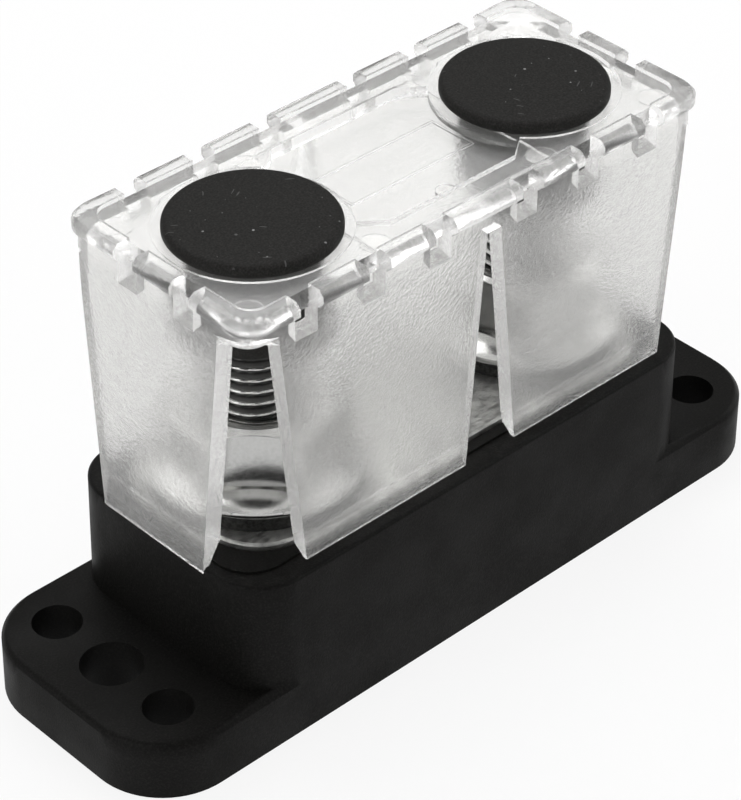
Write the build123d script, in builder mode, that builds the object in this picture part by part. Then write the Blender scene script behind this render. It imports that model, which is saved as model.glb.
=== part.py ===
"""Insulated two-stud power bus bar.

A flat bus bar links two M10 studs that stand on a moulded base with a flange at
each end. A flange nut and a washer clamp the cable lugs on each stud. A clear cover
with cable slots stands on the base, and two plugs close it over the stud ends.

Millimetres, +Z up, the long side along X. The origin is the middle of the underside.
Each piece is modelled where it sits when the bus bar is closed.
"""
from build123d import *
from math import atan, degrees
import os

os.makedirs("parts", exist_ok=True)

# Studs and their heads
stud_inset = 14.25
stud_diameter = 9.8
stud_length = 39.0
stud_tip_chamfer = 1.0
head_flats = 16.0
head_height = 6.4
head_recess = 3.6
head_gap = 0.1

# Raised block of the base, and the hollows that core it from below
block_length = 67.8
block_width = 30.8
block_corner = 6.2
block_height = 21.3
block_edge_break = 0.35
base_draft = 0.25
end_step = 0.9
end_step_depth = 1.05
end_step_gap = 0.2
core_width = 10.4
core_depth = 15.0
core_rib = 2.2

# Flange round the block and its holes
flange_reach = 14.25
flange_thickness = 7.4
flange_corner = 9.0
flange_edge_break = 0.7
hole_inset = 7.39
hole_pitch = 9.24
large_hole = 7.0
small_hole = 5.6

# Bus bar in its pocket
bar_margin_end = 2.3
bar_margin_side = 1.45
bar_thickness = 3.0
bar_sunk = 0.75
bar_corner = 6.6
bar_edge_break = 0.25
bar_gap = 0.1

# Washers and flange nuts
washer_diameter = 21.0
washer_bore = 10.5
washer_thickness = 1.9
nut_flats = 16.0
nut_height = 9.2
nut_bore = 9.94
nut_flange_diameter = 21.8
nut_flange_edge = 0.75
nut_flange_rise = 1.25
nut_crown_inset = 0.65
nut_angles = (16.0, -14.0)

# Cover walls, from the foot on the ledge up to the top plate
foot_gap = 0.05
foot_inset = 0.05
ledge = 1.6
foot_corner = 1.8
end_lean = 1.25
side_lean = 0.2
head_corner = 2.4
end_wall = 2.1
side_wall = 1.9
cover_height = 34.2
foot_lip = 0.5
end_bevel_height = 3.3

# Platform on the block, which the foot of the cover fits round
platform_side_gap = 0.65
platform_end_gap = 0.85
platform_rise = 0.3
platform_corner = 4.6

# Cover top plate, bead, recesses and plug holes
plate_thickness = 2.3
bead_thickness = 2.2
bead_rise = 0.5
bead_over_end = 0.57
bead_over_side = 0.87
bead_width = 2.2
bead_corner = 3.2
bead_edge_break = 0.66
seat_diameter = 21.0
seat_depth = 0.5
panel_depth = 1.4
panel_floor = 1.5
panel_half_width = 9.1
panel_half_length = 8.9
panel_shoulder_x = 12.6
panel_shoulder_y = 6.4
border_length = 17.6
border_width = 6.3
border_line = 0.3
border_rise = 0.12
gate_diameter = 2.4
gate_rise = 0.45
gate_offset = 8.0
ejector_diameter = 3.4
ejector_depth = 0.15
ejector_end_inset = 3.45
ejector_side_inset = 3.6
ejector_inner_x = 12.0

# Lifting notches round the bead
notch_width = 3.0
notch_to_slot = 3.58
notch_inner_x = 6.28
end_notches = (-4.28, 4.28)
notch_sill = 1.55
notch_fall = 0.6

# Cable slots: the mid slot's two edges at the sill height and at the foot, and how far
# each corner slot cuts into the side and the end there
mid_slot_top = (0.52, 2.5)
mid_slot_foot = (-1.95, 5.65)
wide_slot_side = (4.3, 8.85)
wide_slot_end = (4.26, 6.44)
slim_slot_side = (1.5, 5.25)
slim_slot_end = (1.4, 5.2)
wide_slot_arch = 0.6

# Plugs
plug_diameter = 18.7
plug_head = 1.3
plug_edge_break = 0.45
plug_stem_diameter = 14.2
plug_stem_length = 11.7
plug_gap = 0.06
plug_socket_gap = 0.3
plug_socket_clear = 0.6

# Heights and sizes worked out from the values above
stud_x = block_length / 2 - stud_inset
stud_spacing = 2 * stud_x
head_pocket = head_flats / 2 + head_gap
core_length = stud_x - head_pocket / 0.866 - 1.5 * core_rib
flange_length = block_length + 2 * flange_reach
base_foot_length = block_length + 2 * base_draft
base_foot_width = block_width + 2 * base_draft
draft_angle = degrees(atan(base_draft / block_height))
hole_line_spacing = flange_length - 2 * hole_inset
foot_length = block_length - 2 * foot_inset
foot_width = block_width - 2 * ledge
head_length = foot_length - 2 * end_lean
head_width = foot_width - 2 * side_lean
head_seat_z = head_recess + head_height
stud_top_z = head_seat_z + stud_length
platform_z = block_height + platform_rise
bar_bottom_z = platform_z - bar_sunk * bar_thickness
bar_top_z = bar_bottom_z + bar_thickness
washer_top_z = bar_top_z + washer_thickness
nut_top_z = washer_top_z + nut_height
side_foot_z = block_height + foot_gap
foot_z = side_foot_z - end_step
bead_top_z = foot_z + cover_height
bead_bottom_z = bead_top_z - bead_thickness
plate_top_z = bead_top_z - bead_rise
plate_bottom_z = plate_top_z - plate_thickness
panel_z = plate_top_z - panel_depth
seat_z = plate_top_z - seat_depth
sill_z = plate_bottom_z - notch_sill
bead_length_all = head_length + 2 * bead_over_end
bead_width_all = head_width + 2 * bead_over_side
plate_length = bead_length_all - 2 * bead_width
plate_width = bead_width_all - 2 * bead_width
foot_inner_length = foot_length - 2 * foot_lip
foot_inner_width = foot_width - 2 * foot_lip
platform_width = foot_inner_width - 2 * platform_side_gap
platform_length = foot_inner_length - 2 * platform_end_gap
bar_width = platform_width - 2 * bar_margin_side
bar_length = platform_length - 2 * bar_margin_end
wide_top_x = head_length / 2 - wide_slot_side[0]
wide_foot_x = foot_length / 2 - wide_slot_side[1]
wide_top_y = head_width / 2 - wide_slot_end[0]
wide_foot_y = foot_width / 2 - wide_slot_end[1]
slim_top_x = head_length / 2 - slim_slot_side[0]
slim_foot_x = foot_length / 2 - slim_slot_side[1]
slim_top_y = head_width / 2 - slim_slot_end[0]
slim_foot_y = foot_width / 2 - slim_slot_end[1]
end_panel = wide_foot_y + slim_foot_y
end_panel_y = (slim_foot_y - wide_foot_y) / 2
notch_outer_x = wide_top_x - notch_to_slot
notch_middle_x = (notch_inner_x + notch_outer_x) / 2
side_notches = (notch_inner_x, notch_middle_x, notch_outer_x)
ejector_outer_x = head_length / 2 - ejector_end_inset
ejector_y = head_width / 2 - ejector_side_inset
plug_hole = plug_stem_diameter + 2 * plug_gap
reach = foot_width

# Base: flange, block and platform in one moulding
with BuildPart() as base:
    with BuildSketch():
        RectangleRounded(flange_length, base_foot_width, flange_corner)
    extrude(amount=flange_thickness, taper=draft_angle)
    chamfer(base.faces().sort_by(Axis.Z)[-1].edges(), flange_edge_break)
    with BuildSketch(Plane.XY.offset(flange_thickness)):
        with GridLocations(hole_line_spacing, 1, 2, 1):
            Circle(large_hole / 2)
        with GridLocations(hole_line_spacing, 2 * hole_pitch, 2, 2):
            Circle(small_hole / 2)
    extrude(amount=-flange_thickness, mode=Mode.SUBTRACT)
    with BuildSketch():
        RectangleRounded(base_foot_length, base_foot_width, block_corner + base_draft)
    extrude(amount=block_height, taper=draft_angle)
    chamfer(base.faces().sort_by(Axis.Z)[-1].edges(), block_edge_break)
    with BuildSketch(Plane.XY.offset(block_height)):
        with Locations((-block_length / 2, end_panel_y), (block_length / 2, -end_panel_y)):
            Rectangle(2 * end_step_depth, end_panel + 2 * end_step_gap)
    extrude(amount=-end_step, mode=Mode.SUBTRACT)
    with BuildSketch(Plane.XY.offset(block_height)):
        RectangleRounded(platform_length, platform_width, platform_corner)
    extrude(amount=platform_rise)
    with BuildSketch(Plane.XY.offset(platform_z)):
        RectangleRounded(bar_length + 2 * bar_gap, bar_width + 2 * bar_gap, bar_corner + bar_gap)
    extrude(amount=bar_bottom_z - platform_z, mode=Mode.SUBTRACT)
    with BuildSketch():
        with GridLocations(stud_spacing, 1, 2, 1):
            RegularPolygon(head_pocket, 6, major_radius=False)
    extrude(amount=head_seat_z, mode=Mode.SUBTRACT)
    with BuildSketch():
        with GridLocations(stud_spacing, 1, 2, 1):
            Circle(stud_diameter / 2 + bar_gap)
    extrude(amount=platform_z, mode=Mode.SUBTRACT)
    with BuildSketch():
        with GridLocations(core_length + core_rib, core_width + core_rib, 2, 2):
            Rectangle(core_length, core_width)
    extrude(amount=core_depth, mode=Mode.SUBTRACT)
base.part.label = "base"
export_step(base.part, "parts/base.step")

# Bus bar: one flat plate, clearance holes for the studs
with BuildPart() as bus_bar:
    with BuildSketch(Plane.XY.offset(bar_bottom_z)):
        RectangleRounded(bar_length, bar_width, bar_corner)
        with GridLocations(stud_spacing, 1, 2, 1):
            Circle(stud_diameter / 2 + bar_gap, mode=Mode.SUBTRACT)
    extrude(amount=bar_thickness)
    chamfer(bus_bar.faces().sort_by(Axis.Z)[-1].outer_wire().edges(), bar_edge_break)
bus_bar.part.label = "bus_bar"
export_step(bus_bar.part, "parts/bus_bar.step")

# Studs, washers, flange nuts and plugs, once on each side
for side, place, turn in (("left", -stud_x, nut_angles[0]), ("right", stud_x, nut_angles[1])):
    with BuildPart() as stud:
        with BuildSketch(Plane.XY.offset(head_recess)):
            with Locations((place, 0)):
                RegularPolygon(head_flats / 2, 6, major_radius=False)
        extrude(amount=head_height)
        with BuildSketch(Plane.XY.offset(head_seat_z)):
            with Locations((place, 0)):
                Circle(stud_diameter / 2)
        extrude(amount=stud_length)
        chamfer(stud.faces().sort_by(Axis.Z)[-1].edges(), stud_tip_chamfer)
    stud.part.label = "stud_" + side
    export_step(stud.part, "parts/stud_" + side + ".step")

    with BuildPart() as washer:
        with BuildSketch(Plane.XY.offset(bar_top_z)):
            with Locations((place, 0)):
                Circle(washer_diameter / 2)
                Circle(washer_bore / 2, mode=Mode.SUBTRACT)
        extrude(amount=washer_thickness)
    washer.part.label = "washer_" + side
    export_step(washer.part, "parts/washer_" + side + ".step")

    with BuildPart() as flange_nut:
        with BuildSketch(Plane.XY.offset(washer_top_z)):
            with Locations((place, 0)):
                RegularPolygon(nut_flats / 2, 6, major_radius=False, rotation=turn)
        extrude(amount=nut_height)
        with BuildSketch(Plane((place, 0, washer_top_z), (1, 0, 0), (0, -1, 0))):
            with BuildLine():
                Polyline(
                    (0, 0),
                    (nut_flats, 0),
                    (nut_flats, nut_height - (nut_flats / 2 + nut_crown_inset) * 0.577),
                    (nut_flats / 2 - nut_crown_inset, nut_height),
                    (0, nut_height),
                    close=True,
                )
            make_face()
        revolve(axis=Axis((place, 0, 0), (0, 0, 1)), mode=Mode.INTERSECT)
        with BuildSketch(Plane((place, 0, washer_top_z), (1, 0, 0), (0, -1, 0))):
            with BuildLine():
                Polyline(
                    (0, 0),
                    (nut_flange_diameter / 2, 0),
                    (nut_flange_diameter / 2, nut_flange_edge),
                    (nut_flats / 2 - 0.3, nut_flange_edge + nut_flange_rise),
                    (0, nut_flange_edge + nut_flange_rise),
                    close=True,
                )
            make_face()
        revolve(axis=Axis((place, 0, 0), (0, 0, 1)))
        with BuildSketch(Plane.XY.offset(washer_top_z)):
            with Locations((place, 0)):
                Circle(nut_bore / 2)
        extrude(amount=nut_height, mode=Mode.SUBTRACT)
    flange_nut.part.label = "flange_nut_" + side
    export_step(flange_nut.part, "parts/flange_nut_" + side + ".step")

    with BuildPart() as cap:
        with BuildSketch(Plane.XY.offset(seat_z)):
            with Locations((place, 0)):
                Circle(plug_diameter / 2)
        extrude(amount=plug_head)
        chamfer(cap.faces().sort_by(Axis.Z)[-1].edges(), plug_edge_break)
        with BuildSketch(Plane.XY.offset(seat_z)):
            with Locations((place, 0)):
                Circle(plug_stem_diameter / 2)
        extrude(amount=-plug_stem_length)
        with BuildSketch(Plane.XY.offset(seat_z - plug_stem_length)):
            with Locations((place, 0)):
                Circle(stud_diameter / 2 + plug_socket_gap)
        socket_top_z = stud_top_z + plug_socket_clear
        extrude(amount=socket_top_z - seat_z + plug_stem_length, mode=Mode.SUBTRACT)
    cap.part.label = "cap_" + side
    export_step(cap.part, "parts/cap_" + side + ".step")

# Flare inside the foot: one slope along the sides, a steeper one at the ends
with BuildPart() as foot_flare:
    with BuildSketch(Plane.XZ):
        with BuildLine():
            Polyline(
                (foot_inner_length / 2, foot_z),
                (foot_length / 2 - end_wall, foot_z + end_bevel_height),
                (end_wall - foot_length / 2, foot_z + end_bevel_height),
                (-foot_inner_length / 2, foot_z),
                close=True,
            )
        make_face()
    extrude(amount=foot_inner_width / 2 - foot_corner + foot_lip, both=True)
    with BuildSketch(Plane.YZ):
        with BuildLine():
            Polyline(
                (foot_inner_width / 2, side_foot_z),
                (foot_width / 2 - side_wall, side_foot_z + side_wall - foot_lip),
                (side_wall - foot_width / 2, side_foot_z + side_wall - foot_lip),
                (-foot_inner_width / 2, side_foot_z),
                close=True,
            )
        make_face()
    extrude(amount=foot_length / 2 - end_wall, both=True)
    with BuildSketch(Plane.XY.offset(foot_z)):
        RectangleRounded(foot_inner_length, foot_inner_width, foot_corner - foot_lip)
    extrude(amount=end_bevel_height, mode=Mode.INTERSECT)

# Cable slots of one half, repeated by a half turn: wide corner, mid, slim corner
with BuildPart() as slots:
    with BuildSketch(Plane.XY.offset(foot_z)):
        with Locations((-wide_foot_x, -wide_foot_y)):
            Rectangle(reach, reach, align=(Align.MAX, Align.MAX))
    with BuildSketch(Plane.XY.offset(sill_z)):
        with Locations((-wide_top_x, -wide_top_y)):
            Rectangle(reach, reach, align=(Align.MAX, Align.MAX))
    loft()
    with BuildSketch(Plane((-wide_top_x, -head_width / 2, sill_z), (-1, -1, 0), (1, -1, 0))):
        with BuildLine():
            Polyline((0, -1), (0, 0), (head_corner, wide_slot_arch), (2 * head_corner, -1), close=True)
        make_face()
    extrude(amount=reach / 2, both=True)
    with BuildSketch(Plane.XY.offset(foot_z)):
        with Locations((slim_foot_x, -slim_foot_y)):
            Rectangle(reach, reach, align=(Align.MIN, Align.MAX))
    with BuildSketch(Plane.XY.offset(sill_z)):
        with Locations((slim_top_x, -slim_top_y)):
            Rectangle(reach, reach, align=(Align.MIN, Align.MAX))
    loft()
    with BuildSketch(Plane.XZ):
        with BuildLine():
            Polyline(
                (mid_slot_foot[0], foot_z),
                (mid_slot_foot[1], foot_z),
                (mid_slot_top[1], sill_z),
                (mid_slot_top[0], sill_z),
                close=True,
            )
        make_face()
    extrude(amount=reach)

# Lifting notches: a sloping sill and a low window under the plate
with BuildPart() as notches:
    for notch_x in side_notches + tuple(-x for x in side_notches):
        with BuildSketch(Plane.YZ.offset(notch_x)):
            with BuildLine():
                Polyline(
                    (reach, sill_z - notch_fall),
                    (head_width / 2, sill_z - notch_fall),
                    (head_width / 2 - side_wall - 0.3, sill_z),
                    (head_width / 2 - side_wall - 0.3, plate_bottom_z),
                    (plate_width / 2, plate_bottom_z),
                    (plate_width / 2, bead_top_z + 1),
                    (reach, bead_top_z + 1),
                    close=True,
                )
            make_face()
        extrude(amount=notch_width / 2, both=True)
    for notch_y in end_notches:
        with BuildSketch(Plane.XZ.offset(notch_y)):
            with BuildLine():
                Polyline(
                    (head_length, sill_z - notch_fall / 2),
                    (head_length / 2, sill_z - notch_fall / 2),
                    (head_length / 2 - end_wall - 0.3, sill_z),
                    (head_length / 2 - end_wall - 0.3, plate_bottom_z),
                    (plate_length / 2, plate_bottom_z),
                    (plate_length / 2, bead_top_z + 1),
                    (head_length, bead_top_z + 1),
                    close=True,
                )
            make_face()
        extrude(amount=notch_width / 2, both=True)
turned = Rot(0, 0, 180)

# Cover: the bead round its top, then the tapered shell and its plate
with BuildPart() as cover:
    with BuildSketch(Plane.XY.offset(bead_bottom_z)):
        RectangleRounded(bead_length_all, bead_width_all, bead_corner)
    extrude(amount=bead_thickness)
    chamfer(cover.edges().filter_by(Axis.Z, reverse=True), bead_edge_break)
    with BuildSketch(Plane.XY.offset(foot_z)):
        RectangleRounded(foot_length, foot_width, foot_corner)
    with BuildSketch(Plane.XY.offset(bead_bottom_z + bead_thickness / 2)):
        RectangleRounded(head_length, head_width, head_corner)
    loft()
    with BuildSketch(Plane.XY.offset(plate_top_z)):
        RectangleRounded(plate_length, plate_width, bead_corner - bead_width / 2)
    extrude(amount=bead_rise, mode=Mode.SUBTRACT)
    with BuildSketch(Plane.XY.offset(foot_z)):
        Rectangle(foot_length - 2 * end_wall, foot_width - 2 * side_wall)
    with BuildSketch(Plane.XY.offset(plate_bottom_z)):
        Rectangle(head_length - 2 * end_wall, head_width - 2 * side_wall)
    loft(mode=Mode.SUBTRACT)
    with BuildSketch(Plane.XY.offset(foot_z)):
        Rectangle(2 * slim_top_x, foot_width + 1)
    extrude(amount=side_foot_z - foot_z, mode=Mode.SUBTRACT)
    add(foot_flare.part, mode=Mode.SUBTRACT)
    add(slots.part, mode=Mode.SUBTRACT)
    add(turned * slots.part, mode=Mode.SUBTRACT)
    add(notches.part, mode=Mode.SUBTRACT)
    add(turned * notches.part, mode=Mode.SUBTRACT)
    with BuildSketch(Plane.XY.offset(panel_z - panel_floor)):
        Rectangle(2 * panel_shoulder_x, 2 * panel_half_width + 2 * panel_floor)
    extrude(amount=panel_floor)
    with BuildSketch(Plane.XY.offset(panel_z)):
        with BuildLine():
            Polyline(
                (panel_half_length, panel_half_width),
                (panel_shoulder_x, panel_shoulder_y),
                (panel_shoulder_x, -panel_shoulder_y),
                (panel_half_length, -panel_half_width),
                (-panel_half_length, -panel_half_width),
                (-panel_shoulder_x, -panel_shoulder_y),
                (-panel_shoulder_x, panel_shoulder_y),
                (-panel_half_length, panel_half_width),
                close=True,
            )
        make_face()
        with GridLocations(stud_spacing, 1, 2, 1):
            Circle(seat_diameter / 2, mode=Mode.SUBTRACT)
    extrude(amount=panel_depth, mode=Mode.SUBTRACT)
    with BuildSketch(Plane.XY.offset(panel_z)):
        Rectangle(border_length, border_width)
        Rectangle(border_length - 2 * border_line, border_width - 2 * border_line, mode=Mode.SUBTRACT)
    extrude(amount=border_rise)
    with BuildSketch(Plane.XY.offset(panel_z)):
        with Locations((0, -gate_offset)):
            Circle(gate_diameter / 2)
    extrude(amount=gate_rise)
    with BuildSketch(Plane.XY.offset(seat_z)):
        with GridLocations(stud_spacing, 1, 2, 1):
            Circle(seat_diameter / 2)
    extrude(amount=seat_depth, mode=Mode.SUBTRACT)
    with BuildSketch(Plane.XY.offset(bead_top_z)):
        with GridLocations(stud_spacing, 1, 2, 1):
            Circle(plug_hole / 2)
    extrude(amount=-2 * plate_thickness - panel_floor, mode=Mode.SUBTRACT)
    with BuildSketch(Plane.XY.offset(plate_bottom_z)):
        with GridLocations(2 * ejector_outer_x, 2 * ejector_y, 2, 2):
            Circle(ejector_diameter / 2)
        with GridLocations(2 * ejector_inner_x, 2 * ejector_y, 2, 2):
            Circle(ejector_diameter / 2)
    extrude(amount=ejector_depth, mode=Mode.SUBTRACT)
cover.part.label = "cover"
export_step(cover.part, "parts/cover.step")
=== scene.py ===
"""Looks of the insulated two-stud bus bar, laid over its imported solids.

Every size is in metres in the frame of the solids, +Z up. The solids keep their places.
This file adds threads, moulded edges and finishes, and the stage around them.
"""

import bpy
import numpy as np
from bpy.props import FloatProperty, FloatVectorProperty, PointerProperty
from mathutils import Matrix, Vector


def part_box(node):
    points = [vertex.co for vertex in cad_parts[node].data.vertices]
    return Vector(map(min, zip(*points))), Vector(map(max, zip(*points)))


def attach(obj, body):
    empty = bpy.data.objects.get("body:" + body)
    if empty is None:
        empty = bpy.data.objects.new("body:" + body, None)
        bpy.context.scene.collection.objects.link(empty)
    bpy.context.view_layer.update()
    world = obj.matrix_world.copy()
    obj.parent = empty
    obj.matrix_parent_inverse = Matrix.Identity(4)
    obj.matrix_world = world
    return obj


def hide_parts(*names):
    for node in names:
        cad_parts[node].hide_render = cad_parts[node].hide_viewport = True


bl_info = {
    "name": "Insulated Bus Bar",
    "version": (1, 0, 0),
    "blender": (4, 5, 0),
    "location": "View3D > Sidebar > Bus Bar",
    "description": "Builds threads, finishes and stage of a two-stud bus bar over its solids",
    "category": "Object",
}

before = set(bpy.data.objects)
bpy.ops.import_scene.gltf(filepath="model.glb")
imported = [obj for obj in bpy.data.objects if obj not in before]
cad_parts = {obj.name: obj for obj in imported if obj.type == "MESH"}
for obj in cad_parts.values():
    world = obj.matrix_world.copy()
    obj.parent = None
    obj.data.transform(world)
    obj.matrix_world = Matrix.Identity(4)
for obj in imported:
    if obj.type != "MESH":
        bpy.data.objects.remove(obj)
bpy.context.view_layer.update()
SIDES = ("left", "right")

# Triangles of a solid are joined over this distance before they are shaded.
WELD_DISTANCE = 2e-6
# Edges that turn by more degrees than this stay sharp.
SOLID_SHARP = 50.0
STUD_SHARP = 38.0
NUT_SHARP = 40.0
# A bevel rounds only edges that turn by more degrees than this, in so many steps.
BEVEL_FROM = 40.0
BEVEL_STEPS = 2
# Weight that keeps large faces flat where small ones join them.
FACE_WEIGHT = 50
# The cover's plate and bead lie within this height below its top.
PLATE_BAND = 0.0035
WHITE = (1.0, 1.0, 1.0, 1.0)

# Frame of the photograph and the camera fitted to it, in pixels.
IMAGE_WIDTH = 741.0
IMAGE_HEIGHT = 800.0
FOCAL_LENGTH = 3107.6
OPTICAL_CENTRE_X = 390.1
OPTICAL_CENTRE_Y = 412.4
SENSOR_WIDTH = 36.0


def centre_of(node):
    """Middle of a solid's box."""
    low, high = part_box(node)
    return (low + high) / 2


def size_of(node):
    """Length of a solid's box along X, Y and Z."""
    low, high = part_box(node)
    return high - low


def new_material(name):
    """A node material with only its output. Returns the material, its nodes and its links."""
    material = bpy.data.materials.new(name)
    material.use_nodes = True
    nodes = material.node_tree.nodes
    nodes.clear()
    return material, nodes, material.node_tree.links


def shader(nodes, **sockets):
    """A Principled BSDF with the named sockets set on the shader itself."""
    node = nodes.new("ShaderNodeBsdfPrincipled")
    for socket, value in sockets.items():
        node.inputs[socket.replace("_", " ")].default_value = value
    return node


def noise(nodes, links, scale, detail=2.0, roughness=0.5):
    """Noise on object coordinates; scale counts features per metre."""
    place = nodes.new("ShaderNodeTexCoord")
    node = nodes.new("ShaderNodeTexNoise")
    node.inputs["Scale"].default_value = scale
    node.inputs["Detail"].default_value = detail
    node.inputs["Roughness"].default_value = roughness
    links.new(place.outputs["Object"], node.inputs["Vector"])
    return node


def scaled(colour, factor):
    """A colour with each part multiplied by a factor."""
    return tuple(part * factor for part in colour)


def ramp(nodes, links, source, stops):
    """A colour ramp on a factor: stops are (position, value) pairs of grey or colour."""
    node = nodes.new("ShaderNodeValToRGB")
    elements = node.color_ramp.elements
    while len(elements) < len(stops):
        elements.new(0.5)
    for element, (position, value) in zip(elements, stops):
        element.position = position
        element.color = (value, value, value, 1.0) if isinstance(value, float) else (*value, 1.0)
    links.new(source, node.inputs["Fac"])
    return node


def bump(nodes, links, height, distance, strength):
    """Normals of a relief with the given depth in metres."""
    node = nodes.new("ShaderNodeBump")
    node.inputs["Distance"].default_value = distance
    node.inputs["Strength"].default_value = strength
    links.new(height, node.inputs["Height"])
    return node.outputs["Normal"]


def by_height(nodes, links, split_at, below, above):
    """A value that changes from below to above over two millimetres round a height."""
    under, over = 0.0015, 0.0005
    place = nodes.new("ShaderNodeTexCoord")
    split = nodes.new("ShaderNodeSeparateXYZ")
    links.new(place.outputs["Object"], split.inputs["Vector"])
    value = nodes.new("ShaderNodeMapRange")
    value.inputs["From Min"].default_value = split_at - under
    value.inputs["From Max"].default_value = split_at + over
    value.inputs["To Min"].default_value = below
    value.inputs["To Max"].default_value = above
    links.new(split.outputs["Z"], value.inputs["Value"])
    return value.outputs["Result"]


def math_node(nodes, links, operation, first, second):
    """One arithmetic step; each input is a socket to follow or a number."""
    node = nodes.new("ShaderNodeMath")
    node.operation = operation
    for entry, value in zip(node.inputs, (first, second)):
        if isinstance(value, (int, float)):
            entry.default_value = value
        else:
            links.new(value, entry)
    return node.outputs[0]


def mix_shaders(nodes, links, share, first, second):
    """The first shader turning into the second; share is a socket to follow or a number."""
    node = nodes.new("ShaderNodeMixShader")
    if isinstance(share, float):
        node.inputs["Fac"].default_value = share
    else:
        links.new(share, node.inputs["Fac"])
    links.new(first, node.inputs[1])
    links.new(second, node.inputs[2])
    return node.outputs["Shader"]


def for_rays(nodes, links, *kinds):
    """One for the named kinds of ray and nought for all others."""
    path = nodes.new("ShaderNodeLightPath")
    found = path.outputs[kinds[0]]
    for kind in kinds[1:]:
        found = math_node(nodes, links, "MAXIMUM", found, path.outputs[kind])
    return found


def output(nodes, links, surface):
    """Joins a shader to the material's output."""
    node = nodes.new("ShaderNodeOutputMaterial")
    links.new(surface, node.inputs["Surface"])


def grid_faces(rows, columns):
    """Quads of a grid whose columns close on themselves: row by row, column by column."""
    row = np.arange(rows - 1)[:, None]
    column = np.arange(columns)[None, :]
    after = (column + 1) % columns
    corner = row * columns
    above = corner + columns
    quads = np.stack(
        [corner + column, corner + after, above + after, above + column], axis=-1
    )
    return quads.reshape(-1, 4)


def capped_mesh(name, rings):
    """A closed skin over rings of points, given as (rows, columns, 3).

    The surface goes round the columns and up the rows; the first and last ring each
    get one extra point at their mean, with a fan of triangles to it.
    """
    rows, columns, _ = rings.shape
    bottom, top = rings[0].mean(axis=0), rings[-1].mean(axis=0)
    points = np.concatenate([rings.reshape(-1, 3), bottom[None], top[None]])
    quads = grid_faces(rows, columns)
    first, last = rows * columns, rows * columns + 1
    column = np.arange(columns)
    after = (column + 1) % columns
    top_ring = (rows - 1) * columns
    base = np.stack([np.full(columns, first), after, column], axis=-1)
    lid = np.stack([np.full(columns, last), top_ring + column, top_ring + after], axis=-1)
    faces = quads.tolist() + base.tolist() + lid.tolist()
    mesh = bpy.data.meshes.new(name)
    mesh.from_pydata(points.tolist(), [], faces)
    mesh.update()
    return mesh


def smooth_by_angle(piece, degrees, by_area=False):
    """Smooth shading that keeps edges sharper than the angle.

    With by_area, large faces keep their own direction, so a narrow chamfer between
    two of them is shaded as the round edge that the mould has.
    """
    piece.data.shade_smooth()
    edges = piece.modifiers.new("sharp_edges", "EDGE_SPLIT")
    edges.split_angle = np.radians(degrees)
    if by_area:
        normals = piece.modifiers.new("even_shading", "WEIGHTED_NORMAL")
        normals.mode = "FACE_AREA"
        normals.weight = FACE_WEIGHT


def dress_solid(node, material, edge=0.0):
    """Gives a solid its finish: welded, bevelled where an edge width is given, and shaded."""
    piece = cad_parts[node]
    piece.data.materials.clear()
    piece.data.materials.append(material)
    weld = piece.modifiers.new("weld", "WELD")
    weld.merge_threshold = WELD_DISTANCE
    if edge:
        bevel = piece.modifiers.new("soft_edges", "BEVEL")
        bevel.width = edge
        bevel.segments = BEVEL_STEPS
        bevel.limit_method = "ANGLE"
        bevel.angle_limit = np.radians(BEVEL_FROM)
    smooth_by_angle(piece, SOLID_SHARP, by_area=True)


def add_piece(name, mesh, material, body, replaced=()):
    """Links a new piece at the origin and lets it ride its body."""
    piece = bpy.data.objects.new(name, mesh)
    bpy.context.scene.collection.objects.link(piece)
    piece.data.materials.append(material)
    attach(piece, body)
    if replaced:
        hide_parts(*replaced)
    return piece


def black_moulding(name, colour, rough, sheen, grain, grain_depth):
    """Matt black thermoplastic with a fine spark-eroded grain and faint rubbed patches."""
    material, nodes, links = new_material(name)
    body = shader(nodes, Specular_IOR_Level=sheen)
    speckle = noise(nodes, links, scale=4200.0, detail=1.0)
    tone = ramp(
        nodes, links, speckle.outputs["Fac"],
        ((0.32, scaled(colour, 0.7)), (0.52, colour), (0.72, scaled(colour, 1.7))),
    )
    links.new(tone.outputs["Color"], body.inputs["Base Color"])
    patches = noise(nodes, links, scale=160.0, detail=3.0)
    swing = 0.06
    gloss = ramp(
        nodes, links, patches.outputs["Fac"], ((0.35, rough - swing), (0.65, rough + swing))
    )
    links.new(gloss.outputs["Color"], body.inputs["Roughness"])
    fine = noise(nodes, links, scale=grain)
    surface = bump(nodes, links, fine.outputs["Fac"], grain_depth, strength=0.6)
    links.new(surface, body.inputs["Normal"])
    output(nodes, links, body.outputs["BSDF"])
    return material


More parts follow.
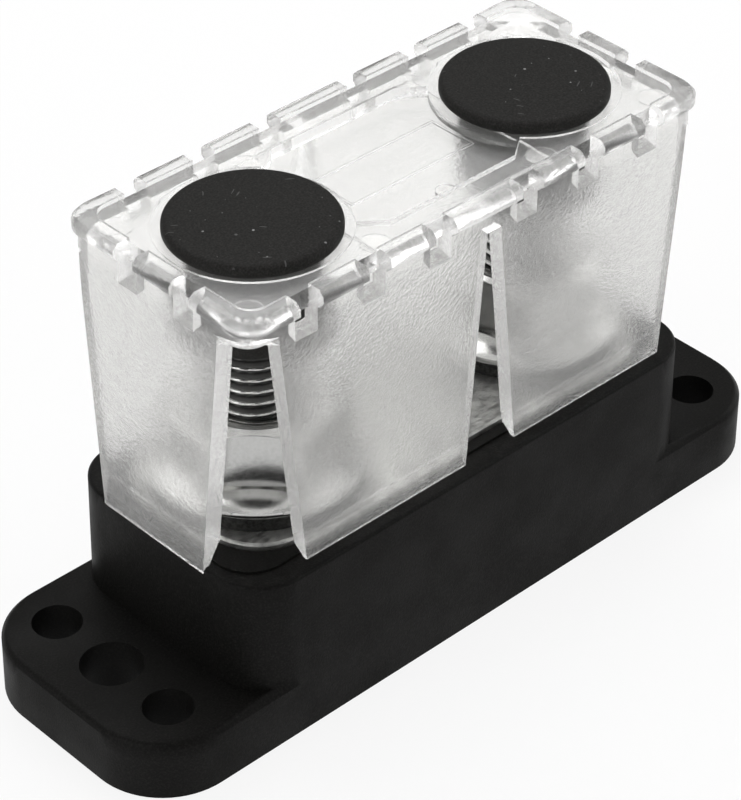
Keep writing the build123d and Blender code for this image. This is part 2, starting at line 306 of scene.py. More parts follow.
def fibres(nodes, links, turn):
    """Mask of a few short curved hairs, laid along one direction.

    Cells are stretched along it on warped coordinates. The middles of some of them
    are the hairs, and the mask stays weak.
    """
    bend, length, per_metre = 0.0022, 6.5, 620.0
    width, rarity, strength = 0.045, 0.7, 0.2
    place = nodes.new("ShaderNodeTexCoord")
    warp = noise(nodes, links, scale=330.0, detail=1.0)
    shift = nodes.new("ShaderNodeVectorMath")
    shift.operation = "MULTIPLY_ADD"
    shift.inputs[1].default_value = (bend, bend, bend)
    links.new(warp.outputs["Color"], shift.inputs[0])
    links.new(place.outputs["Object"], shift.inputs[2])
    stretch = nodes.new("ShaderNodeMapping")
    stretch.vector_type = "TEXTURE"
    stretch.inputs["Rotation"].default_value = (0.0, 0.0, turn)
    stretch.inputs["Scale"].default_value = (length, 1.0, 1.0)
    links.new(shift.outputs["Vector"], stretch.inputs["Vector"])
    cells = nodes.new("ShaderNodeTexVoronoi")
    cells.voronoi_dimensions = "2D"
    cells.inputs["Scale"].default_value = per_metre
    links.new(stretch.outputs["Vector"], cells.inputs["Vector"])
    chance = nodes.new("ShaderNodeSeparateColor")
    links.new(cells.outputs["Color"], chance.inputs["Color"])
    near = math_node(nodes, links, "LESS_THAN", cells.outputs["Distance"], width)
    few = math_node(nodes, links, "GREATER_THAN", chance.outputs["Red"], rarity)
    mask = math_node(nodes, links, "MULTIPLY", near, few)
    return math_node(nodes, links, "MULTIPLY", mask, strength)


def dusty_moulding(name, colour, rough, sheen):
    """Soft matt black of the caps, with a fine grain.

    Pale specks and short hairs of dust lie on the faces that look upwards.
    """
    specks_per_metre, largest_speck, bare_share = 520.0, 0.085, 0.47
    hair_turns, steepest = (0.5, 2.2), 0.6
    dust_colour = (0.3, 0.3, 0.3, 1.0)
    material, nodes, links = new_material(name)
    body = shader(nodes, Specular_IOR_Level=sheen)
    place = nodes.new("ShaderNodeTexCoord")
    cells = nodes.new("ShaderNodeTexVoronoi")
    cells.voronoi_dimensions = "2D"
    cells.inputs["Scale"].default_value = specks_per_metre
    links.new(place.outputs["Object"], cells.inputs["Vector"])
    sparse = noise(nodes, links, scale=260.0, detail=1.0)
    chance = nodes.new("ShaderNodeSeparateColor")
    links.new(cells.outputs["Color"], chance.inputs["Color"])
    reach = math_node(nodes, links, "POWER", chance.outputs["Red"], 3.0)
    reach = math_node(nodes, links, "MULTIPLY", reach, largest_speck)
    near = math_node(nodes, links, "LESS_THAN", cells.outputs["Distance"], reach)
    few = math_node(nodes, links, "GREATER_THAN", sparse.outputs["Fac"], bare_share)
    speck = math_node(nodes, links, "MULTIPLY", near, few)
    speck = math_node(nodes, links, "MULTIPLY", speck, chance.outputs["Green"])
    for turn in hair_turns:
        speck = math_node(nodes, links, "MAXIMUM", speck, fibres(nodes, links, turn))
    facing = nodes.new("ShaderNodeSeparateXYZ")
    links.new(place.outputs["Normal"], facing.inputs["Vector"])
    upwards = math_node(nodes, links, "GREATER_THAN", facing.outputs["Z"], steepest)
    speck = math_node(nodes, links, "MULTIPLY", speck, upwards)
    leather = noise(nodes, links, scale=4600.0)
    plain = ramp(
        nodes, links, leather.outputs["Fac"],
        ((0.32, scaled(colour, 0.7)), (0.52, colour), (0.72, scaled(colour, 1.5))),
    )
    tone = nodes.new("ShaderNodeMix")
    tone.data_type = "RGBA"
    links.new(plain.outputs["Color"], tone.inputs["A"])
    tone.inputs["B"].default_value = dust_colour
    links.new(speck, tone.inputs["Factor"])
    links.new(tone.outputs["Result"], body.inputs["Base Color"])
    body.inputs["Roughness"].default_value = rough
    fine = noise(nodes, links, scale=6000.0)
    surface = bump(nodes, links, fine.outputs["Fac"], distance=0.00003, strength=0.5)
    links.new(surface, body.inputs["Normal"])
    output(nodes, links, body.outputs["BSDF"])
    return material


def bright_metal(name, colour, rough, mottle, ripple):
    """Steel with uneven tone and gloss and a slightly wavy, worked surface."""
    material, nodes, links = new_material(name)
    body = shader(nodes, Metallic=1.0)
    patches = noise(nodes, links, scale=2600.0, detail=3.0, roughness=0.55)
    tone = ramp(
        nodes, links, patches.outputs["Fac"],
        ((0.35, scaled(colour, 1.0 - mottle)), (0.62, tuple(colour))),
    )
    links.new(tone.outputs["Color"], body.inputs["Base Color"])
    gloss = ramp(nodes, links, patches.outputs["Fac"], ((0.3, rough + 0.04), (0.7, rough)))
    links.new(gloss.outputs["Color"], body.inputs["Roughness"])
    waves = noise(nodes, links, scale=1400.0, detail=3.0)
    surface = bump(nodes, links, waves.outputs["Fac"], ripple, strength=0.5)
    links.new(surface, body.inputs["Normal"])
    output(nodes, links, body.outputs["BSDF"])
    return material


def threaded_steel(name, crest, flank, rough):
    """Rolled thread: crests in the bright steel colour, flanks in a darker colour painted as dark
    reflection, and roots painted darker still as shade.

    The mesh carries the height of each point in the thread, from 0 in the root to 1 on
    the crest, and one value between them all over the head.
    """
    material, nodes, links = new_material(name)
    body = shader(nodes, Metallic=1.0)
    height = nodes.new("ShaderNodeAttribute")
    height.attribute_name = "crest_height"
    smudge = noise(nodes, links, scale=1800.0)
    smudging = 0.16
    # Painted shade: the thread's height, plus random smudges, sets how dark each point is.
    painted_shade_and_smudge = math_node(nodes, links, "MULTIPLY", smudge.outputs["Fac"], smudging)
    painted_shade_and_smudge = math_node(nodes, links, "ADD", height.outputs["Fac"], painted_shade_and_smudge)
    # Painted shade in the thread's roots, far darker than the flanks.
    root = scaled(flank, 0.22)
    tone = ramp(nodes, links, painted_shade_and_smudge, ((0.2, root), (0.5, flank), (0.88, flank), (0.97142857, crest)))
    links.new(tone.outputs["Color"], body.inputs["Base Color"])
    gloss = ramp(nodes, links, painted_shade_and_smudge, ((0.3, rough + 0.12), (0.95, rough)))
    links.new(gloss.outputs["Color"], body.inputs["Roughness"])
    output(nodes, links, body.outputs["BSDF"])
    return material


def tinned_bar(name, colour, rough):
    """Dull tin plating over copper: long rub marks, blotches and small dents."""
    material, nodes, links = new_material(name)
    body = shader(nodes, Metallic=1.0)
    place = nodes.new("ShaderNodeTexCoord")
    stretch = nodes.new("ShaderNodeMapping")
    stretch.inputs["Scale"].default_value = (0.22, 1.0, 1.0)
    stretch.inputs["Rotation"].default_value = (0.0, 0.0, 0.35)
    links.new(place.outputs["Object"], stretch.inputs["Vector"])
    rubs = nodes.new("ShaderNodeTexNoise")
    rubs.inputs["Scale"].default_value = 2600.0
    rubs.inputs["Detail"].default_value = 4.0
    links.new(stretch.outputs["Vector"], rubs.inputs["Vector"])
    blotches = noise(nodes, links, scale=420.0, detail=4.0, roughness=0.65)
    tone = ramp(
        nodes, links, blotches.outputs["Fac"],
        ((0.34, scaled(colour, 0.45)), (0.66, tuple(colour))),
    )
    links.new(tone.outputs["Color"], body.inputs["Base Color"])
    gloss = ramp(nodes, links, rubs.outputs["Fac"], ((0.35, rough + 0.15), (0.65, rough - 0.1)))
    links.new(gloss.outputs["Color"], body.inputs["Roughness"])
    surface = bump(nodes, links, rubs.outputs["Fac"], distance=0.00005, strength=0.5)
    links.new(surface, body.inputs["Normal"])
    output(nodes, links, body.outputs["BSDF"])
    return material


def frosted_clear(name, looks, split_at):
    """Clear polycarbonate: rippled, milky walls under a clearer and flatter top plate.

    The object's own height decides between the two. A fine grain tints the light that
    passes and ripples the surface. Shadow rays pass tinted, so that the pieces inside
    are lit through it.
    """
    shadow_tint = (0.9, 0.9, 0.9, 1.0)
    material, nodes, links = new_material(name)
    colour = tuple(looks.clear_colour)
    body = shader(nodes, Transmission_Weight=1.0, IOR=1.45)
    grain = noise(nodes, links, scale=2700.0, roughness=0.6)
    grain_depth = by_height(nodes, links, split_at, below=1.0, above=0.25)
    tint = ramp(
        nodes, links, grain.outputs["Fac"], ((0.4, scaled(colour, 0.84)), (0.54, colour))
    )
    even = nodes.new("ShaderNodeMix")
    even.data_type = "RGBA"
    even.inputs["A"].default_value = (*colour, 1.0)
    links.new(grain_depth, even.inputs["Factor"])
    links.new(tint.outputs["Color"], even.inputs["B"])
    links.new(even.outputs["Result"], body.inputs["Base Color"])
    rough = by_height(nodes, links, split_at, looks.wall_rough, looks.plate_rough)
    links.new(rough, body.inputs["Roughness"])
    relief = math_node(nodes, links, "MULTIPLY", grain.outputs["Fac"], grain_depth)
    surface = bump(nodes, links, relief, looks.wall_ripple, strength=1.0)
    links.new(surface, body.inputs["Normal"])
    haze = nodes.new("ShaderNodeBsdfDiffuse")
    haze.inputs["Color"].default_value = (*looks.milk_colour, 1.0)
    through = nodes.new("ShaderNodeBsdfTranslucent")
    through.inputs["Color"].default_value = (*looks.milk_colour, 1.0)
    for scatter in (haze, through):
        links.new(surface, scatter.inputs["Normal"])
    milky = mix_shaders(nodes, links, 0.5, haze.outputs["BSDF"], through.outputs["BSDF"])
    share = by_height(nodes, links, split_at, looks.wall_milk, looks.plate_milk)
    pitted = ramp(nodes, links, grain.outputs["Fac"], ((0.42, 0.4), (0.6, 1.0)))
    milk = math_node(nodes, links, "MULTIPLY", share, pitted.outputs["Color"])
    cloudy = mix_shaders(nodes, links, milk, body.outputs["BSDF"], milky)
    clear = nodes.new("ShaderNodeBsdfTransparent")
    clear.inputs["Color"].default_value = shadow_tint
    shadow = for_rays(nodes, links, "Is Shadow Ray")
    output(nodes, links, mix_shaders(nodes, links, shadow, cloudy, clear.outputs["BSDF"]))
    return material


def hexagon(theta, flats, turn):
    """Distance from the axis to a hexagon's side at angle theta; a corner lies at turn."""
    sixth = np.pi / 3
    from_flat = np.mod(theta - turn, sixth) - sixth / 2
    return flats / 2 / np.cos(from_flat)


def soft_min(a, b, width):
    """The smaller of two radii, with the crease between them rounded over width."""
    blend = np.clip(0.5 + 0.5 * (b - a) / width, 0.0, 1.0)
    return b * (1 - blend) + a * blend - width * blend * (1 - blend)


def rings_at(centre, radius, height, theta):
    """Points at a radius and height round a vertical axis. Arrays are (rows, columns)."""
    across = centre.x + radius * np.cos(theta)
    along = centre.y + radius * np.sin(theta)
    return np.stack([across, along, height + 0 * theta], axis=-1)


def stud_mesh(name, node, sizes):
    """Hex-headed stud with a rolled thread.

    Radius as a function of angle and height: the hexagon in the head, cut by a 30 degree
    cone at its outer end, then a plain shank, then root + depth * wave, where the wave
    follows height / pitch - angle / whole turn and has a flat crest, straight flanks
    and a round root. A cone limits it at the tip.
    """
    columns, rows_per_turn = 128, 18
    cone_height, cone_rows, cone_start = 0.0011, 8, 0.94
    crest_width, flank_slope, roundness = 1.16, 3.0, 0.35
    head_tone = 0.85
    low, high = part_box(node)
    centre = centre_of(node)
    crest = sizes.stud_diameter / 2
    depth = sizes.thread_depth
    seat = high.z - sizes.stud_length
    theta = np.linspace(0, 2 * np.pi, columns, endpoint=False)[None, :]
    hexed = hexagon(theta, size_of(node).y, 0.0)
    flat = size_of(node).y / 2
    cone = np.linspace(0, cone_height, cone_rows)
    head_z = np.concatenate([[low.z], low.z + cone, [seat - 0.0003, seat, seat]])[:, None]
    limit = np.concatenate(
        [[0.3 * flat], cone_start * flat + cone * np.sqrt(3), [2 * flat, 2 * flat, crest]]
    )
    head_r = np.minimum(hexed, limit[:, None])
    head_r[-2] = hexed[0] - 0.0002
    start = sizes.thread_start
    steps = int(round((high.z - start) / sizes.thread_pitch * rows_per_turn))
    thread_z = np.linspace(start, high.z, steps)
    z = np.concatenate([[seat + 0.0001, start - 0.0003], thread_z])[:, None]
    phase = np.mod(z / sizes.thread_pitch - theta / (2 * np.pi), 1.0)
    wave = np.clip(crest_width - np.abs(phase - 0.5) * flank_slope, 0.0, 1.0)
    wave = wave * wave * (3 - 2 * wave) * roundness + wave * (1 - roundness)
    run_in = np.clip((z - start) / sizes.thread_pitch, 0.0, 1.0)
    radius = crest - depth * (1 - wave) * run_in
    tip = crest - np.clip(z - (high.z - sizes.tip_chamfer), 0, None)
    radius = np.minimum(radius, tip)
    rings = np.concatenate(
        [rings_at(centre, head_r, head_z, theta), rings_at(centre, radius, z, theta)]
    )
    mesh = capped_mesh(name, rings)
    height = np.concatenate([0 * head_r + head_tone, 1 - (1 - wave) * run_in]).ravel()
    height = np.concatenate([height, [head_tone, head_tone]]).astype(np.float32)
    crest_height = mesh.attributes.new("crest_height", "FLOAT", "POINT")
    crest_height.data.foreach_set("value", height)
    return mesh


def nut_mesh(name, node, turn, sizes):
    """Flange nut as one closed loop of rings.

    Going round the section: under the flange, its rim, its convex cone, the hexagon
    cut by a 30 degree crown, the top face, the bore's mouth and the bore. In each
    row the radius is the smaller of the hexagon and a circle, with a soft crease.
    """
    columns, dome_rows, body_rows, crown_rows = 240, 12, 10, 22
    bore_slack, mouth_width, crease = 0.00007, 0.00035, 0.00008
    rim_height, rim_round = 0.00075, 0.00012
    dome_rise, dome_bulge, dome_overlap = 0.00125, 0.86, 0.0003
    crown_depth, crown_inset = 0.0009, 0.00065
    low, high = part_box(node)
    centre = centre_of(node)
    rim = size_of(node).x / 2
    flat = sizes.nut_flats / 2
    bore = sizes.stud_diameter / 2 + bore_slack
    mouth = bore + mouth_width
    theta = np.linspace(0, 2 * np.pi, columns, endpoint=False)[None, :]
    hexed = hexagon(theta, sizes.nut_flats, turn)
    edge = low.z + rim_height
    dome = np.linspace(0.06, 1.0, dome_rows)
    dome_foot = rim - rim_round
    dome_r = dome_foot - (dome_foot - flat + dome_overlap) * dome
    dome_z = edge + dome_rise * np.power(dome, dome_bulge)
    crown_low = high.z - crown_depth
    body_z = np.linspace(dome_z[-1] + 0.0002, crown_low, body_rows)
    crown_z = np.linspace(crown_low, high.z, crown_rows)[1:]
    crown_r = flat - crown_inset + (high.z - crown_z) / np.tan(np.radians(30))
    big = 4 * flat
    circle = np.concatenate(
        [[bore + 0.0002, rim - 0.0002, rim - 0.00004, rim, rim, rim - 0.00004], dome_r,
         np.full(body_rows, big), crown_r, [mouth + 0.0001, mouth, bore, bore, bore + 0.0001]]
    )[:, None]
    z = np.concatenate(
        [[low.z, low.z, low.z + 0.00006, low.z + 0.0002, edge - 0.00016, edge - 0.00004],
         dome_z, body_z, crown_z,
         [high.z, high.z - 0.00005, high.z - 0.0004, low.z + 0.0003, low.z]]
    )[:, None]
    radius = np.where(circle > rim, soft_min(hexed, circle, crease), circle)
    crowned = (z > crown_low) & (circle > mouth + 0.0002)
    radius = np.where(crowned, soft_min(hexed, circle, crease), radius)
    radius = np.where((circle <= rim) & ~crowned, circle + 0 * theta, radius)
    rings = rings_at(centre, radius, z, theta)
    rows = rings.shape[0]
    quads = grid_faces(rows + 1, columns) % (rows * columns)
    mesh = bpy.data.meshes.new(name)
    mesh.from_pydata(rings.reshape(-1, 3).tolist(), [], quads.tolist())
    mesh.update()
    return mesh


def cap_mesh(name, node, sizes):
    """Push-in cap turned round its axis, from the socket's ceiling to the top's middle.

    The section goes down the socket, out under the stem, up the stem, out under the
    head and up the rim, then over the edge along a quarter of an ellipse,
    r = rim - a (1 - cos t), z = top - b (1 - sin t), and in over the flat top.
    """
    columns, edge_rows, socket_gap, edge_squash = 160, 14, 0.0003, 0.8
    low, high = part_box(node)
    centre = centre_of(node)
    rim = size_of(node).x / 2
    head = high.z - sizes.cap_head
    stem, socket = sizes.cap_stem / 2, sizes.stud_diameter / 2 + socket_gap
    ceiling = high.z - sizes.cap_roof
    across, down = sizes.cap_edge, sizes.cap_edge * edge_squash
    turn = np.linspace(0, np.pi / 2, edge_rows)
    radius = np.concatenate(
        [[0.0005, socket - 0.0002, socket, socket, socket + 0.0002, stem - 0.0003, stem, stem,
          stem + 0.0001, rim - 0.0001, rim],
         rim - across * (1 - np.cos(turn)),
         [(rim - across) * 0.66, (rim - across) * 0.33, 0.0005]]
    )
    z = np.concatenate(
        [[ceiling, ceiling, ceiling - 0.0002, low.z + 0.0002, low.z, low.z, low.z + 0.0003,
          head - 0.0001, head, head, head + 0.0001],
         high.z - down * (1 - np.sin(turn)), [high.z, high.z, high.z]]
    )
    theta = np.linspace(0, 2 * np.pi, columns, endpoint=False)[None, :]
    return capped_mesh(name, rings_at(centre, radius[:, None] + 0 * theta, z[:, None], theta))


class BusBarSizes(bpy.types.PropertyGroup):
    """Sizes that only the looks need; everything else comes from the solids."""

    thread_pitch: FloatProperty(
        name="Thread pitch", description="Rise of the stud's thread in one turn",
        default=0.0015, unit="LENGTH", subtype="DISTANCE",
    )
    thread_depth: FloatProperty(
        name="Thread depth", description="From the crest of the stud's thread to its root",
        default=0.00088, unit="LENGTH", subtype="DISTANCE",
    )
    thread_start: FloatProperty(
        name="Thread start", description="Height at which the thread begins, inside the base",
        default=0.0185, unit="LENGTH", subtype="DISTANCE",
    )
    stud_diameter: FloatProperty(
        name="Stud diameter", description="Across the thread's crests",
        default=0.0098, unit="LENGTH", subtype="DISTANCE",
    )
    stud_length: FloatProperty(
        name="Stud length", description="From under the head to the tip",
        default=0.039, unit="LENGTH", subtype="DISTANCE",
    )
    tip_chamfer: FloatProperty(
        name="Tip chamfer", description="Height of the cone at the stud's tip",
        default=0.001, unit="LENGTH", subtype="DISTANCE",
    )
    nut_flats: FloatProperty(
        name="Nut across flats", description="Between two opposite sides of the flange nut",
        default=0.016, unit="LENGTH", subtype="DISTANCE",
    )
    cap_head: FloatProperty(
        name="Cap head", description="Thickness of the cap's head above its stem",
        default=0.0013, unit="LENGTH", subtype="DISTANCE",
    )
    cap_stem: FloatProperty(
        name="Cap stem", description="Diameter of the stem that fills the cover's hole",
        default=0.0142, unit="LENGTH", subtype="DISTANCE",
    )
    cap_roof: FloatProperty(
        name="Cap roof", description="From the cap's top down to the ceiling of its socket",
        default=0.00535, unit="LENGTH", subtype="DISTANCE",
    )
    cap_edge: FloatProperty(
        name="Cap edge", description="Width of the rounding round the cap's top",
        default=0.0009, unit="LENGTH", subtype="DISTANCE",
    )
    nut_turn_left: FloatProperty(
        name="Left nut angle", description="Angle of one corner of the left nut",
        default=0.2792527, unit="ROTATION", subtype="ANGLE",
    )
    nut_turn_right: FloatProperty(
        name="Right nut angle", description="Angle of one corner of the right nut",
        default=-0.2443461, unit="ROTATION", subtype="ANGLE",
    )


class BusBarFinishes(bpy.types.PropertyGroup):
    """Colours and surface values of the finishes."""

    base_colour: FloatVectorProperty(
        name="Base colour", description="Black thermoplastic of the base",
        default=(0.0059, 0.0057, 0.0052), size=3, subtype="COLOR", min=0, max=1,
    )
    base_rough: FloatProperty(
        name="Base roughness", description="Roughness of the base's matt surface",
        default=0.52, min=0, max=1, subtype="FACTOR",
    )
    cap_colour: FloatVectorProperty(
        name="Cap colour", description="Black of the caps",
        default=(0.0195, 0.019, 0.0178), size=3, subtype="COLOR", min=0, max=1,
    )
    cap_rough: FloatProperty(
        name="Cap roughness", description="Roughness of the caps",
        default=0.6, min=0, max=1, subtype="FACTOR",
    )
    black_sheen: FloatProperty(
        name="Sheen of the blacks", description="Reflection level of the black mouldings",
        default=0.08, min=0, max=1, subtype="FACTOR",
    )
    # Steel of the thread's flanks, darkened as a painted reflection of the dark parts round the
    # stud.
    stud_colour_darkened_as_reflection: FloatVectorProperty(
        name="Stud colour", description="Dull steel of the flanks of the studs' threads",
        default=(0.22, 0.22, 0.215), size=3, subtype="COLOR", min=0, max=1,
    )
    steel_colour: FloatVectorProperty(
        name="Steel colour", description="Stainless of the nuts and the crests of the threads",
        default=(0.51, 0.51, 0.5), size=3, subtype="COLOR", min=0, max=1,
    )
    # The washers get a very dark steel colour, darker than the nuts.
    washer_colour: FloatVectorProperty(
        name="Washer colour", description="Dulled steel of the washers",
        default=(0.06, 0.06, 0.058), size=3, subtype="COLOR", min=0, max=1,
    )
    tin_colour: FloatVectorProperty(
        name="Tin colour", description="Tin plating of the bus bar",
        default=(0.47, 0.47, 0.455), size=3, subtype="COLOR", min=0, max=1,
    )
    clear_colour: FloatVectorProperty(
        name="Cover colour", description="Tint of the clear cover",
        default=(0.995, 0.993, 0.985), size=3, subtype="COLOR", min=0, max=1,
    )
    milk_colour: FloatVectorProperty(
        name="Milk colour", description="Colour of the light scattered inside the cover's plastic",
        default=(0.92, 0.915, 0.9), size=3, subtype="COLOR", min=0, max=1,
    )
    wall_milk: FloatProperty(
        name="Wall milkiness", description="Share of light that the walls scatter",
        default=0.18, min=0, max=1, subtype="FACTOR",
    )
    plate_milk: FloatProperty(
        name="Plate milkiness", description="Share of light that the top plate scatters",
        default=0.09, min=0, max=1, subtype="FACTOR",
    )
    wall_rough: FloatProperty(
        name="Wall roughness", description="Frosting of the cover's walls",
        default=0.14, min=0, max=1, subtype="FACTOR",
    )
    plate_rough: FloatProperty(
        name="Plate roughness", description="Frosting of the cover's top plate",
        default=0.2, min=0, max=1, subtype="FACTOR",
    )
    wall_ripple: FloatProperty(
        name="Wall ripple", description="Depth of the grain moulded into the walls",
        default=0.00009, unit="LENGTH", subtype="DISTANCE",
    )


class BUSBAR_OT_base(bpy.types.Operator):
    """Finish the base in matt black"""

    bl_idname = "busbar.base"
    bl_label = "Base"

    def execute(self, context):
        looks = context.scene.busbar_finishes
        material = black_moulding(
            "base moulding", looks.base_colour, looks.base_rough, looks.black_sheen,
            grain=5200.0, grain_depth=0.00004,
        )
        dress_solid("base", material)
        return {"FINISHED"}


class BUSBAR_OT_bar(bpy.types.Operator):
    """Finish the bus bar in rubbed tin plating"""

    bl_idname = "busbar.bar"
    bl_label = "Bus bar"

    def execute(self, context):
        looks = context.scene.busbar_finishes
        material = tinned_bar("tinned copper", looks.tin_colour, rough=0.42)
        dress_solid("bus_bar", material, edge=0.0001)
        return {"FINISHED"}


class BUSBAR_OT_studs(bpy.types.Operator):
    """Build both studs with their threads"""

    bl_idname = "busbar.studs"
    bl_label = "Studs"

    def execute(self, context):
        sizes, looks = context.scene.busbar_sizes, context.scene.busbar_finishes
        material = threaded_steel(
            "stud steel", tuple(looks.steel_colour), tuple(looks.stud_colour_darkened_as_reflection), rough=0.24
        )
        for side in SIDES:
            mesh = stud_mesh("threaded_stud_" + side, "stud_" + side, sizes)
            piece = add_piece(
                "threaded_stud_" + side, mesh, material, "housing", ["stud_" + side]
            )
            smooth_by_angle(piece, STUD_SHARP)
        return {"FINISHED"}


class BUSBAR_OT_nuts(bpy.types.Operator):
    """Build both flange nuts and finish the washers"""

    bl_idname = "busbar.nuts"
    bl_label = "Nuts and washers"

    def execute(self, context):
        sizes, looks = context.scene.busbar_sizes, context.scene.busbar_finishes
        steel = bright_metal(
            "nut steel", looks.steel_colour, rough=0.13, mottle=0.05, ripple=0.000012
        )
        washer_steel = bright_metal(
            "washer steel", looks.washer_colour, rough=0.4, mottle=0.5, ripple=0.00002
        )
        for side, turn in zip(SIDES, (sizes.nut_turn_left, sizes.nut_turn_right)):
            node = "flange_nut_" + side
            mesh = nut_mesh("nut_" + side + "_crowned", node, turn, sizes)
            piece = add_piece(mesh.name, mesh, steel, "nut_" + side, [node])
            smooth_by_angle(piece, NUT_SHARP)
            dress_solid("washer_" + side, washer_steel, edge=0.00012)
        return {"FINISHED"}


class BUSBAR_OT_cover(bpy.types.Operator):
    """Finish the cover in frosted clear polycarbonate"""

    bl_idname = "busbar.cover"
    bl_label = "Cover"

    def execute(self, context):
        looks = context.scene.busbar_finishes
        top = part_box("cover")[1].z
        material = frosted_clear("frosted clear", looks, top - PLATE_BAND)
        dress_solid("cover", material)
        return {"FINISHED"}


class BUSBAR_OT_caps(bpy.types.Operator):
    """Finish both caps in dusty matt black"""

    bl_idname = "busbar.caps"
    bl_label = "Caps"

    def execute(self, context):
        sizes, looks = context.scene.busbar_sizes, context.scene.busbar_finishes
        material = dusty_moulding(
            "cap moulding", looks.cap_colour, looks.cap_rough, looks.black_sheen
        )
        for side in SIDES:
            name = "rounded_cap_" + side
            mesh = cap_mesh(name, "cap_" + side, sizes)
            piece = add_piece(name, mesh, material, "cap_" + side, ["cap_" + side])
            smooth_by_angle(piece, SOLID_SHARP)
        return {"FINISHED"}


def area_light(name, place, target, size, power):
    """A rectangular softbox at a place, turned to a target, with its power in watts."""
    data = bpy.data.lights.new(name, "AREA")
    data.shape = "RECTANGLE"
    data.size, data.size_y = size
    data.energy = power
    lamp = bpy.data.objects.new(name, data)
    lamp.location = place
    lamp.rotation_euler = (Vector(target) - Vector(place)).to_track_quat("-Z", "Y").to_euler()
    bpy.context.scene.collection.objects.link(lamp)


def white_floor():
    """Wide matt floor that keeps shadows.

    Camera, transmission and glossy rays find it mostly plain white.
    """
    half, drop, brightness, white_share = 2.5, 0.00002, 0.95, 0.85
    corners = [(-half, -half), (half, -half), (half, half), (-half, half)]
    mesh = bpy.data.meshes.new("floor")
    mesh.from_pydata([(x, y, -drop) for x, y in corners], [], [(0, 1, 2, 3)])
    floor = bpy.data.objects.new("floor", mesh)
    bpy.context.scene.collection.objects.link(floor)
    material, nodes, links = new_material("white floor")
    plain = nodes.new("ShaderNodeBsdfDiffuse")
    plain.inputs["Color"].default_value = (brightness, brightness, brightness, 1.0)
    white = nodes.new("ShaderNodeEmission")
    white.inputs["Color"].default_value = WHITE
    seen = for_rays(nodes, links, "Is Camera Ray", "Is Transmission Ray", "Is Glossy Ray")
    share = math_node(nodes, links, "MULTIPLY", seen, white_share)
    output(
        nodes, links,
        mix_shaders(nodes, links, share, plain.outputs["BSDF"], white.outputs["Emission"]),
    )
    floor.data.materials.append(material)


def background(nodes, strength):
    """White light of the world at a strength."""
    node = nodes.new("ShaderNodeBackground")
    node.inputs["Color"].default_value = WHITE
    node.inputs["Strength"].default_value = strength
    return node.outputs["Background"]


def studio_world():
    """Plain soft light all round; camera and transmission rays find white there."""
    world = bpy.data.worlds.new("studio")
    world.use_nodes = True
    nodes, links = world.node_tree.nodes, world.node_tree.links
    nodes.clear()
    ambient = background(nodes, strength=0.28)
    bright = background(nodes, strength=1.0)
    seen = for_rays(nodes, links, "Is Camera Ray", "Is Transmission Ray")
    out = nodes.new("ShaderNodeOutputWorld")
    links.new(mix_shaders(nodes, links, seen, ambient, bright), out.inputs["Surface"])
    bpy.context.scene.world = world


def photo_camera():
    """Camera at the place, turn, focal length and optical centre fitted to the photograph."""
    data = bpy.data.cameras.new("camera")
    data.sensor_fit = "HORIZONTAL"
    data.sensor_width = SENSOR_WIDTH
    data.lens = FOCAL_LENGTH / IMAGE_WIDTH * SENSOR_WIDTH
    data.shift_x = -(OPTICAL_CENTRE_X - IMAGE_WIDTH / 2) / IMAGE_WIDTH
    data.shift_y = (OPTICAL_CENTRE_Y - IMAGE_HEIGHT / 2) / IMAGE_WIDTH
    data.clip_start, data.clip_end = 0.01, 20.0
    camera = bpy.data.objects.new("camera", data)
    place = (-0.191426, -0.198022, 0.228915)
    right = Vector((0.723792, -0.689957, 0.009212))
    up = Vector((0.411817, 0.442648, 0.796536))
    back = Vector((-0.553654, -0.572732, 0.604521))
    turn = Matrix((right, up, back)).transposed().to_4x4()
    camera.matrix_world = Matrix.Translation(place) @ turn
    bpy.context.scene.collection.objects.link(camera)
    bpy.context.scene.camera = camera


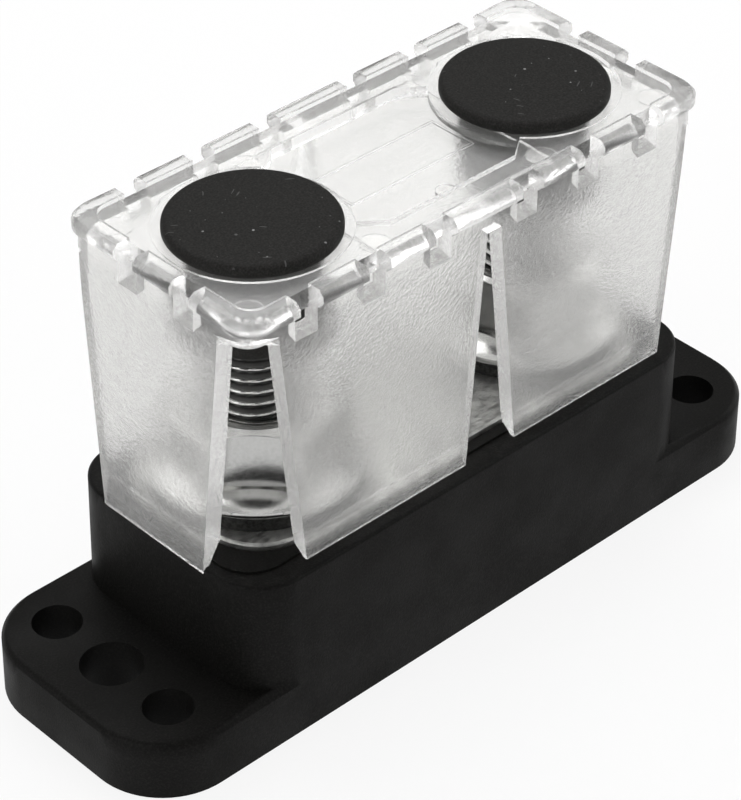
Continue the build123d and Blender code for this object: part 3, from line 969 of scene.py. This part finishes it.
class BUSBAR_OT_stage(bpy.types.Operator):
    """Set up the white floor, the soft lights and the camera"""

    bl_idname = "busbar.stage"
    bl_label = "Stage"

    def execute(self, context):
        white_floor()
        studio_world()
        target = (0.0, 0.0, 0.025)
        area_light("top softbox", (0.12, 0.32, 0.56), target, size=(0.6, 0.4), power=2.3)
        area_light("left softbox", (-0.6, -0.05, 0.3), target, size=(0.4, 0.4), power=1.5)
        area_light("right softbox", (0.6, -0.15, 0.3), target, size=(0.4, 0.4), power=1.4)
        area_light("front softbox", (0.3, -0.6, 0.35), target, size=(0.5, 0.4), power=0.9)
        photo_camera()
        context.scene.view_settings.view_transform = "Standard"
        return {"FINISHED"}


class BUSBAR_PT_panel(bpy.types.Panel):
    """Sizes, finishes and steps of the bus bar"""

    bl_idname = "BUSBAR_PT_panel"
    bl_label = "Bus Bar"
    bl_space_type = "VIEW_3D"
    bl_region_type = "UI"
    bl_category = "Bus Bar"

    def draw(self, context):
        for group in (context.scene.busbar_sizes, context.scene.busbar_finishes):
            box = self.layout.box()
            for key in group.__annotations__:
                box.prop(group, key)
        for step in STEPS:
            self.layout.operator(step.bl_idname)


STEPS = (
    BUSBAR_OT_base,
    BUSBAR_OT_bar,
    BUSBAR_OT_studs,
    BUSBAR_OT_nuts,
    BUSBAR_OT_cover,
    BUSBAR_OT_caps,
    BUSBAR_OT_stage,
)
CLASSES = (BusBarSizes, BusBarFinishes, *STEPS, BUSBAR_PT_panel)


def register():
    """Registers the classes and hangs both property groups on the scene."""
    for entry in CLASSES:
        bpy.utils.register_class(entry)
    bpy.types.Scene.busbar_sizes = PointerProperty(type=BusBarSizes)
    bpy.types.Scene.busbar_finishes = PointerProperty(type=BusBarFinishes)


def unregister():
    """Undoes what register did, in the opposite order."""
    del bpy.types.Scene.busbar_finishes
    del bpy.types.Scene.busbar_sizes
    for entry in reversed(CLASSES):
        bpy.utils.unregister_class(entry)


def main():
    """Builds everything in order."""
    register()
    bpy.ops.busbar.base()
    bpy.ops.busbar.bar()
    bpy.ops.busbar.studs()
    bpy.ops.busbar.nuts()
    bpy.ops.busbar.cover()
    bpy.ops.busbar.caps()
    bpy.ops.busbar.stage()
    bpy.context.view_layer.update()


if __name__ == "__main__":
    main()
